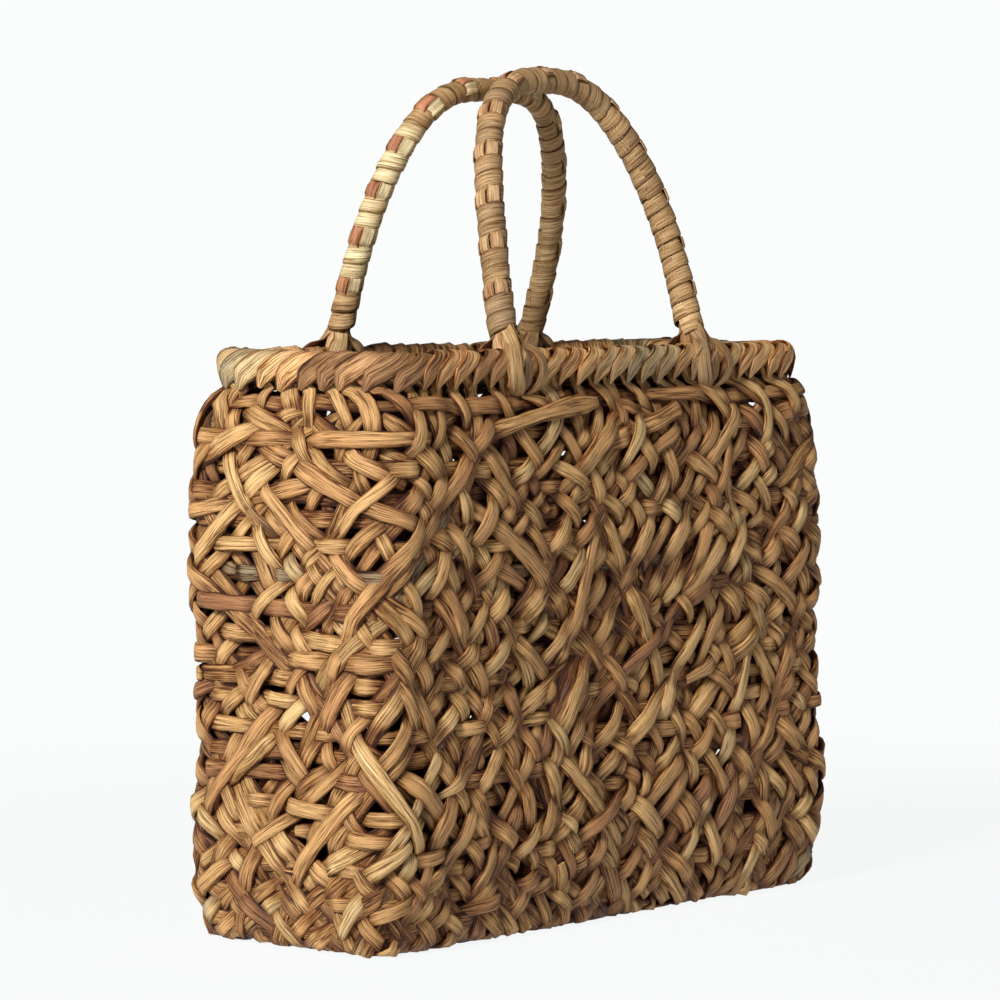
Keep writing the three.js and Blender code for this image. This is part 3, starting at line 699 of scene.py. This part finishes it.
for name, chosen, nodes, slot in (
    ("hoop_strips", of_family("hoop"), nodes_of("hoop_"), "hoop_bark"),
    ("stake_strips_a", of_family("stake")[::2], nodes_of("cross_stake_"), "stake_bark"),
    ("stake_strips_b", of_family("stake")[1::2], nodes_of("long_stake_"), "long_stake_bark"),
    ("loose_strips_a", of_family("loose")[::3], (), "stake_bark"),
    ("loose_strips_b", of_family("loose")[1::3], (), "stake_bark"),
    ("loose_strips_c", of_family("loose")[2::3], (), "stake_bark"),
    ("base_strips", of_family("base"), (), "long_stake_bark"),
):
    woven = vine_piece(name, chosen, wall_bark, weave_random)
    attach(woven, "basket")
    if nodes:
        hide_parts(*nodes)


# Rim
# Two rods are laid along the top of the wall, and every stake is brought up, folded over them at
# a slant and drawn down inside, so that overlapping slanted turns cover the rods.

RIM_AXIS_Z = 231.85
RIM_HALF_WIDTH = 8.0
RIM_HALF_HEIGHT = 6.6
RIM_SQUARENESS = 3.4
SKIRT_INWARD = 0.9
TURN_FROM, TURN_TO = -30, 250
RUN_STEP = 1.5
rim_random = np.random.default_rng(5)


def squarish(size, part):
    """A length that a cosine or sine takes round a section with flattened sides"""
    return size * np.sign(part) * np.abs(part) ** (2 / RIM_SQUARENESS)


# Section of the rim under its turns: angle from straight out over the top, and the way walked
section_angle = np.radians(np.linspace(TURN_FROM, TURN_TO, 400))
section_out = squarish(RIM_HALF_WIDTH, np.cos(section_angle))
section_up = squarish(RIM_HALF_HEIGHT, np.sin(section_angle))
skirt = RIM_HALF_WIDTH - SKIRT_INWARD * (section_up / RIM_HALF_HEIGHT) ** 2
section_out = np.where(section_angle < 0, skirt, section_out)
section_run = np.concatenate([[0], np.cumsum(np.hypot(np.diff(section_out), np.diff(section_up)))])
normal_out, normal_up = np.gradient(section_up, section_run), -np.gradient(section_out, section_run)

# Tints of the turns by how far right each one stands, seen from the left front: the bundles of
# vine differ, and the tints also hold painted light and shade: paler just right of the front
# handle's left foot, where that leg's shadow falls on the rim, and darker towards the brightly lit left end
SEEN_RIGHT = (0.644, -0.765)
RIM_TINTS = [(-140, 0.95), (-104, 0.92), (-92, 0.34), (-84, 0.2), (-74, 0.02), (-60, 0.0),
             (-44, 0.08), (-27, 0.36), (-7, 0.3), (12, 0.6), (32, 0.6), (44, 0.76), (52, 0.9),
             (64, 0.88), (76, 0.7), (92, 0.66), (140, 0.64)]
tint_places, rim_tints = zip(*RIM_TINTS)

# Each turn starts as a point low on the outside, widens, and slants less over the top. A slant is
# how far it goes along the rim for each millimetre round it.
FACE_SLANT, END_SLANT_GAIN, TOP_SLANT = 1.45, 0.25, 0.8
TURN_HALF_WIDTHS = (4.4, 5.3)
POINT_SHARE, POINT_LENGTHS = 0.26, (3.4, 4.8)
POINT_ALONG, POINT_DOWN = 0.55, 0.75
strands = []
for start in stake_places:
    run = np.arange(0, section_run[-1], RUN_STEP)
    angle, out, up, lean_out, lean_up = (np.interp(run, section_run, values) for values in
                                         (section_angle, section_out, section_up, normal_out, normal_up))
    angle = np.degrees(angle)
    wall_side = wall_facing(np.array([start]), np.array([WALL_HEIGHT - 30.0]))[0]
    on_face = FACE_SLANT + END_SLANT_GAIN * wall_side[0] ** 2 + rim_random.uniform(-0.15, 0.15)
    slant = np.interp(angle, [35, 75], [on_face, TOP_SLANT])
    full = rim_random.uniform(*TURN_HALF_WIDTHS)
    pointed = full * np.clip(POINT_SHARE + run / rim_random.uniform(*POINT_LENGTHS), 0, 1)
    width = pointed * np.interp(angle, [30, 80], [1.0, 1.12])
    cut = np.clip(full - width, 0, None)
    first = np.interp(start, rim_walked, rim_run) - 3.0
    walked = first + np.concatenate([[0], np.cumsum(slant[1:] * RUN_STEP)]) + POINT_ALONG * cut
    u = np.interp(walked % rim_run[-1], rim_run, rim_walked)
    up = up - POINT_DOWN * cut - rim_random.uniform(-0.5, 0.5)
    level = np.full_like(u, WALL_HEIGHT)
    outward = unit(wall_facing(u, level) * (1, 1, 0))
    stand = rim_random.uniform(-0.15, 0.2) + 0.2 * np.sin(run / 4 + rim_random.uniform(0, FULL_TURN))
    middle = wall_point(u, level) + outward * (out + stand * lean_out)[:, None]
    middle[:, 2] = RIM_AXIS_Z + up + stand * lean_up
    facing = outward * lean_out[:, None]
    facing[:, 2] = lean_up
    slope = unit(np.gradient(middle, axis=0))
    facing = facing + np.cross(slope, facing) * (0.06 + 0.2 * np.clip(lean_out, 0, 1))[:, None]
    right = float(SEEN_RIGHT[0] * middle[5, 0] + SEEN_RIGHT[1] * middle[5, 1])
    tint = np.interp(right, tint_places, rim_tints) + rim_random.normal(0, 0.08)
    strands.append(Strip("strand", middle, facing, width, float(np.clip(tint, 0, 1))))

RIM_COLOURS = [
    (0.0, (0.250, 0.116, 0.042)),
    (0.25, (0.445, 0.218, 0.081)),
    (0.5, (0.690, 0.355, 0.128)),
    (0.62, (0.730, 0.405, 0.152)),
    (0.72, (0.600, 0.355, 0.146)),
    (0.85, (0.450, 0.310, 0.140)),
    (1.0, (0.350, 0.262, 0.135)),
]
rim_bark = bark_finish("rim_bark", RIM_COLOURS, fibre_depth=1.1, contrast=1.25)
strand_piece = vine_piece("rim_strands", strands, rim_bark, rim_random,
                          back=0.3, belly=0.12, roundness=0.8, corners=14)
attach(strand_piece, "basket")
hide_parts("rim_lashing_front", "rim_lashing_right", "rim_lashing_back", "rim_lashing_left")


def rod_finish(name, dark, light, stretch):
    """Shaved rod under its turns, brown with fibres along it, made as dark as the shade under the turns:
    painted shade
    """
    finish, make = empty_material(name)
    spot = make("ShaderNodeTexCoord", output="Object")
    place = make("ShaderNodeMapping", values={"Vector": spot, "Scale": stretch})
    fibre = make("ShaderNodeTexNoise", values={"Vector": place, "Scale": 1.0, "Detail": 4.0})
    colour = make("ShaderNodeValToRGB", {"stops": [(0.3, dark), (0.7, light)]}, {"Fac": fibre})
    bump = make("ShaderNodeBump", values={"Strength": 0.5, "Distance": 0.0006, "Height": fibre})
    roughness = 0.6 + (fibre - 0.5) * 0.3
    shader = make("ShaderNodeBsdfPrincipled", values={
        "Base Color": colour, "Roughness": roughness, "Normal": bump})
    make("ShaderNodeOutputMaterial", values={"Surface": shader})
    return finish


# The rods are painted near-black brown: painted shade where they show under the turns
rim_rod = rod_finish("rim_rod_painted_shade", (0.035, 0.016, 0.008), (0.11, 0.055, 0.025), (60, 60, 900))
for node in ("rim_hoop_outer", "rim_hoop_inner"):
    for slot in bpy.data.objects[node].material_slots:
        slot.material = rim_rod


# Handles
# Each is a bent rod wound from foot to foot with broad split vine. Narrow lengths run along its
# outer side, and every third turn goes under them, so that they show as small windows.

HANDLE_FOOT = (6.4, -43.351, 231.851)
HALF_SPAN = 62.5
HANDLE_HEIGHT = 122.5
HANDLE_LEAN = math.radians(17.77)
HANDLE_RADIUS = 4.95
FOOT_GAIN, FOOT_RUN = 0.3, 40
CROWN_LOSS, CROWN_FROM, CROWN_RUN = 0.4, 90, 60
ARCH_CROWN = 0.9
ARCH_SKEW = 5.0
ROD_START = 6.7
WIND_START = 14.5
TURN_PITCH = 6.9
TURN_POINTS = 18
TURN_COVER = 0.57
TURN_TILT = 0.09
FIRST_ANGLE = 2.6
WINDOW_DEPTH, WINDOW_EDGE, WINDOW_EASE = 0.7, 1.75, 0.35
UNDER_DEPTH, OVER_RISE = 1.3, 1.75
handle_random = np.random.default_rng(23)

# How far each handle's bending by hand strays from the plain arch: left leg and right leg
# along the rim and crown upwards, in its own frame, and the lean of its crown in degrees.
# Its shoulders are squarer the lower their power is.
HAND_BENT = {"front": (1.8, 1.4, 2.8, -0.9), "rear": (-2.6, 1.2, -0.4, 0.9)}
SHOULDERS = {"front": (0.62, 0.78), "rear": (0.55, 0.58)}
HAND_GIRTH = {"front": 0.35, "rear": -0.2}


def arch_line(left, right, crown, shoulders):
    """Handle's middle line from its left foot to its right one, in even steps of a millimetre"""
    angle = np.linspace(math.pi, 0, 4001)
    rise = np.sin(angle) ** ARCH_CROWN
    rise[0] = rise[-1] = 0
    skew = ARCH_SKEW * np.sin(math.pi / 2 * np.clip((rise - 0.1) / 0.9, 0, 1))
    stray = np.where(angle > math.pi / 2, left, right) * np.sin(math.pi * np.clip(rise, 0, 1)) ** 2
    shoulder = np.where(angle > math.pi / 2, *shoulders)
    x = HALF_SPAN * np.sign(np.cos(angle)) * np.abs(np.cos(angle)) ** shoulder + skew + stray
    z = (HANDLE_HEIGHT + crown) * rise
    run = np.concatenate([[0], np.cumsum(np.hypot(np.diff(x), np.diff(z)))])
    walked = np.linspace(0, run[-1], int(run[-1]))
    return walked, np.interp(walked, run, x), np.interp(walked, run, z)


class Arch:
    """One handle's middle line, and places and facings on its round"""

    def __init__(self, name):
        left, right, crown, lean = HAND_BENT[name]
        self.walked, self.x, self.z = arch_line(left, right, crown, SHOULDERS[name])
        self.girth = HANDLE_RADIUS + HAND_GIRTH[name]
        self.dx, self.dz = np.gradient(self.x), np.gradient(self.z)
        self.length = float(self.walked[-1])
        self.lean = HANDLE_LEAN + math.radians(lean)
        self.flip = np.array((-1, -1, 1) if name == "rear" else (1, 1, 1))

    def radius(self, walked):
        """A little thicker at the feet and thinner over the crown"""
        from_foot = np.minimum(walked, self.length - walked)
        at_foot = np.clip(1 - from_foot / FOOT_RUN, 0, 1)
        at_crown = np.clip((from_foot - CROWN_FROM) / CROWN_RUN, 0, 1)
        return self.girth + FOOT_GAIN * at_foot - CROWN_LOSS * at_crown

    def set_up(self, vectors):
        """From the handle's own plane to the bag, as directions"""
        cosine, sine = math.cos(self.lean), math.sin(self.lean)
        y = vectors[:, 1] * cosine + vectors[:, 2] * sine
        z = -vectors[:, 1] * sine + vectors[:, 2] * cosine
        return np.stack([vectors[:, 0], y, z], axis=-1)

    def place(self, walked, round_angle, stand):
        """round_angle runs from the outer edge of the arch towards the bag's front or back"""
        x, z, dx, dz = (np.interp(walked, self.walked, values)
                        for values in (self.x, self.z, self.dx, self.dz))
        size = np.hypot(dx, dz)
        outer = np.stack([-dz / size, np.zeros_like(x), dx / size], axis=-1)
        lifted = outer * np.cos(round_angle)[:, None]
        lifted[:, 1] -= np.sin(round_angle)
        local = np.stack([x, np.zeros_like(x), z], axis=-1) + lifted * np.asarray(stand)[:, None]
        return (self.set_up(local) + HANDLE_FOOT) * self.flip, self.set_up(lifted) * self.flip


# Tints of the winding from the left foot over the crown to the right one, seen from the front. On the front
# handle the left leg, which the key lamp lights most, has darker tints: partly its own colour, partly
# painted shade
FRONT_TINTS = [(0, 0.3), (0.3, 0.3), (0.42, 0.42), (0.72, 0.42), (1, 0.56)]
REAR_TINTS = [(0, 0.46), (0.1, 0.7), (0.2, 0.98), (0.3, 1.0), (0.36, 0.62), (0.5, 0.46),
              (0.66, 0.58), (0.86, 0.56), (1, 0.54)]
WINDING_COLOURS = [
    (0.0, (0.235, 0.140, 0.064)),
    (0.2, (0.290, 0.170, 0.073)),
    (0.4, (0.365, 0.206, 0.082)),
    (0.6, (0.435, 0.252, 0.097)),
    (0.8, (0.535, 0.362, 0.163)),
    (1.0, (0.605, 0.450, 0.215)),
]
WINDOW_COLOURS = [
    (0.0, (0.300, 0.105, 0.048)),
    (0.3, (0.420, 0.165, 0.070)),
    (0.6, (0.500, 0.285, 0.125)),
    (1.0, (0.600, 0.450, 0.225)),
]
winding_bark = bark_finish("winding_bark", WINDING_COLOURS, fibre_depth=0.9, split_amount=0.7, contrast=0.92)
window_bark = bark_finish("window_bark", WINDOW_COLOURS, split_amount=0.6, contrast=0.85)

# Lengthwise strips: angle round the arch from its outer edge, half width, tint in front and rear
LENGTHWISE = ((0.0, 2.8, 0.56, 0.22), (1.02, 2.75, 0.6, 0.95), (-1.02, 2.75, 0.58, 0.9))

# Ways of the bands from a leg's side over the rim and under it: out along the rim, out from the
# rim's axis towards the front or back, and up from that axis
OVER_RIM = [(1.6, 2.2, 17.0), (2.2, 4.0, 13.8), (3.2, 5.8, 10.6), (5.4, 7.5, 8.7), (7.7, 8.8, 6.8),
            (9.2, 10.1, 2.5), (9.0, 10.3, -2), (6.9, 9.9, -6), (4.4, 7.4, -9.4), (3.0, 2.4, -11)]
DOWN_RIM = [(0, 3.0, 15.8), (0, 5.2, 11.6), (0, 7.4, 8.4), (0.3, 9.2, 4), (0.2, 9.4, -1),
            (0, 8.9, -6), (0, 5.4, -9.6), (0, 0.6, -10.4)]
ON_LEG, ON_LEG_RUN = 8.5, 3
BAND_POINTS = 26


def rounded_way(spots, count):
    """Points spread along a way that a few spots give, its corners rounded off"""
    shares = np.linspace(0, 1, len(spots))
    way = np.stack([np.interp(np.linspace(0, 1, count), shares, axis) for axis in zip(*spots)], axis=-1)
    for polish in range(4):
        way[1:-1] = 0.5 * way[1:-1] + 0.25 * (way[2:] + way[:-2])
    return way


for side_name, rear, tints in (("front", False, FRONT_TINTS), ("rear", True, REAR_TINTS)):
    arch = Arch(side_name)
    seams = [WIND_START]
    while seams[-1] < arch.length - WIND_START - 4:
        seams.append(seams[-1] + TURN_PITCH * handle_random.uniform(0.86, 1.14))
    seams = np.array(seams)
    turns = len(seams) - 1
    is_window = np.array([float(turn % 3 == 2 and 0 < turn < turns - 1) for turn in range(turns + 1)])
    shares, share_tints = zip(*tints)

    # the rod, as thick as its winding where it shows at the feet and thinner under it
    walked = np.arange(ROD_START, arch.length - ROD_START, 1.9)
    from_foot = np.minimum(walked, arch.length - walked)
    girth = arch.radius(walked) - 0.1 - 0.8 * np.clip((from_foot - WIND_START + 2.5) / 2, 0, 1)
    place, facing = arch.place(walked, np.zeros(len(walked)), np.zeros(len(walked)))
    rod = vine_piece(side_name + "_rod", [Strip("rod", place, facing, girth, 0.62)], window_bark,
                     handle_random, back=1.0, belly=1.0, roundness=1.0, corners=16)
    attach(rod, side_name + "_handle")
    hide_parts(side_name + "_handle_core")

    # the winding, one broad turn after another, drawn in under the lengthwise strips at a window
    winding = []
    for turn in range(turns):
        angle = np.linspace(0, 2 * math.pi * (1 + 1.5 / TURN_POINTS), TURN_POINTS + 2) + FIRST_ANGLE
        part = (angle - FIRST_ANGLE) / (2 * math.pi)
        pitch = seams[turn + 1] - seams[turn]
        walked = seams[turn] + pitch * part
        stand = arch.radius(walked) + handle_random.uniform(-0.1, 0.14)
        if is_window[turn]:
            from_outer = np.abs((angle + math.pi) % (2 * math.pi) - math.pi)
            stand = stand - WINDOW_DEPTH * np.clip((WINDOW_EDGE - from_outer) / WINDOW_EASE, 0, 1)
        place, facing = arch.place(walked, angle, stand)
        facing = facing + np.cross(unit(np.gradient(place, axis=0)), facing) * TURN_TILT
        share = seams[turn] / arch.length
        tint = np.interp(1 - share if rear else share, shares, share_tints) + handle_random.normal(0, 0.07)
        winding.append(Strip("winding", place, facing, pitch * TURN_COVER, float(np.clip(tint, 0, 1))))
    winding_piece = vine_piece(side_name + "_winding", winding, winding_bark, handle_random,
                               back=0.13, belly=0.1, roundness=0.55)
    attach(winding_piece, side_name + "_handle")
    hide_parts(side_name + "_wrap_right", side_name + "_wrap_left")

    # the lengthwise strips, over a turn at each window and under the others
    lengthwise = []
    for around, half_width, front_tint, rear_tint in LENGTHWISE:
        walked = np.arange(seams[0] + 1, seams[-1] - 1, 0.9)
        passed = ((around - FIRST_ANGLE) % (2 * math.pi)) / (2 * math.pi) - 0.5
        turn = np.clip(np.searchsorted(seams, walked - passed * TURN_PITCH) - 1, 0, turns)
        over = np.convolve(np.pad(is_window[turn], 1, mode="edge"), np.ones(3) / 3, mode="valid")
        stand = arch.radius(walked) - UNDER_DEPTH + OVER_RISE * over
        place, facing = arch.place(walked, np.full(len(walked), around), stand)
        lengthwise.append(Strip("lengthwise", place, facing, half_width, rear_tint if rear else front_tint))
    window_piece = vine_piece(side_name + "_windows", lengthwise, window_bark, handle_random,
                              back=0.16, belly=0.16, roundness=0.55)
    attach(window_piece, side_name + "_handle")
    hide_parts(side_name + "_pattern_strip")

    # the bands that tie each foot down: from under the winding out over the rim and together
    # under it, with a darker length drawn down between them
    bands = []
    for foot in (-1, 1):
        for inner in (1, -1):
            for across, half_width, spots in ((-1, 4.1, OVER_RIM), (1, 4.0, OVER_RIM), (0, 2.9, DOWN_RIM)):
                along, away, up = rounded_way(spots, BAND_POINTS).T
                side = across or 1
                x = foot * HALF_SPAN + side * along
                y = -inner * away + np.clip(up - 4, 0, None) * math.tan(arch.lean)
                place = np.stack([x, y, up], axis=-1) + HANDLE_FOOT
                on_leg = np.clip((up - ON_LEG) / ON_LEG_RUN, 0, 1)
                facing = unit(np.stack([across * (0.3 + 0.15 * on_leg), -inner * np.clip(away, 2, None) / 9,
                                        np.clip(up, -11, 6) / 12 * (1 - on_leg)], axis=-1))
                width = half_width * handle_random.uniform(0.94, 1.06) * (1 - 0.22 * on_leg)
                tint = np.clip(handle_random.normal(0.5 if across else 0.2, 0.08), 0, 1)
                bands.append(Strip("band", place * arch.flip, facing * arch.flip, width, float(tint)))
    band_piece = vine_piece(side_name + "_foot_bands", bands, winding_bark, handle_random,
                            back=0.26, belly=0.14, roundness=0.7)
    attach(band_piece, side_name + "_handle")
    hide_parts(*(f"{side_name}_band_{foot}_{letter}"
                              for foot in ("right", "left") for letter in "ab"))


# Floor and light
# A plain pale sheet under the bag, a large soft lamp high on its left and a weak one on its right.
# The sheet glows towards the lens and fades into the room, which is as pale.

edge = 30
floor_mesh = bpy.data.meshes.new("floor")
floor_corners = [(-edge, -edge, 0), (edge, -edge, 0), (edge, edge, 0), (-edge, edge, 0)]
floor_mesh.from_pydata(floor_corners, [], [(0, 1, 2, 3)])
floor = placed("floor", floor_mesh)

WHITE = (0.965, 0.982, 0.978, 1)
GLOW_NEAR = 0.93
paper, make = empty_material("paper")
spot = make("ShaderNodeTexCoord", output="Object")
distance = make("ShaderNodeVectorMath", {"operation": "LENGTH"}, {0: spot}, output="Value")
far = distance.fade(0.25, 0.9, 0.0, 1.0)
seen = make("ShaderNodeLightPath", output="Is Camera Ray")
for output in ("Is Glossy Ray", "Is Transmission Ray"):
    seen = seen.maths("MAXIMUM", make("ShaderNodeLightPath", output=output))
sheet = make("ShaderNodeBsdfDiffuse", values={"Color": (0.80, 0.81, 0.805, 1)})
glow = make("ShaderNodeEmission", values={"Color": WHITE, "Strength": 1.0})
glow_share = (GLOW_NEAR + far * (1 - GLOW_NEAR)) * seen
paper_mix = make("ShaderNodeMixShader", values={0: glow_share, 1: sheet, 2: glow})
make("ShaderNodeOutputMaterial", values={"Surface": paper_mix})
floor_mesh.materials.append(paper)

world = bpy.data.worlds.new("room")
bpy.context.scene.world = world
world.use_nodes = True
world.node_tree.nodes.clear()
make = Socket(world.node_tree).node
seen = make("ShaderNodeLightPath", output="Is Camera Ray")
seen = seen.maths("MAXIMUM", make("ShaderNodeLightPath", output="Is Transmission Ray"))
ambient = make("ShaderNodeBackground", values={"Color": (1.0, 0.91, 0.79, 1), "Strength": 0.085})
backdrop = make("ShaderNodeBackground", values={"Color": WHITE, "Strength": 1.0})
room_mix = make("ShaderNodeMixShader", values={0: seen, 1: ambient, 2: backdrop})
make("ShaderNodeOutputWorld", values={"Surface": room_mix})

LIT_SPOT = Vector((0, 0, 0.12))


def soft_lamp(name, place, size, power, colour):
    lamp = bpy.data.lights.new(name, "AREA")
    lamp.shape = "DISK"
    lamp.size = size
    lamp.energy = power
    lamp.color = colour
    held = placed(name, lamp)
    held.location = place
    held.rotation_euler = (LIT_SPOT - Vector(place)).to_track_quat("-Z", "Y").to_euler()


soft_lamp("key_lamp", (-2.5, -0.5, 1.8), 0.75, 108, (1.0, 0.99, 0.97))
soft_lamp("fill_lamp", (1.4, -2.4, 1.3), 1.6, 4, (0.97, 0.98, 1.0))


# Camera
# A long lens at table height, turned about fifty degrees from the front towards the bag's left
# end, so that both the long front and the narrow side show.

CAMERA_YAW, CAMERA_PITCH, CAMERA_DISTANCE = -49.9, 3.3, 1.901
CAMERA_TARGET = Vector((-0.0113, 0, 0.1749))
yaw, pitch = math.radians(CAMERA_YAW), math.radians(CAMERA_PITCH)
back = Vector((math.sin(yaw) * math.cos(pitch), -math.cos(yaw) * math.cos(pitch), math.sin(pitch)))
lens = bpy.data.cameras.new("camera")
lens.lens = 162
lens.sensor_width = 36
camera = placed("camera", lens)
camera.location = CAMERA_TARGET + back * CAMERA_DISTANCE
camera.rotation_euler = back.to_track_quat("Z", "Y").to_euler()
bpy.context.scene.camera = camera
bpy.context.scene.view_settings.view_transform = "Standard"
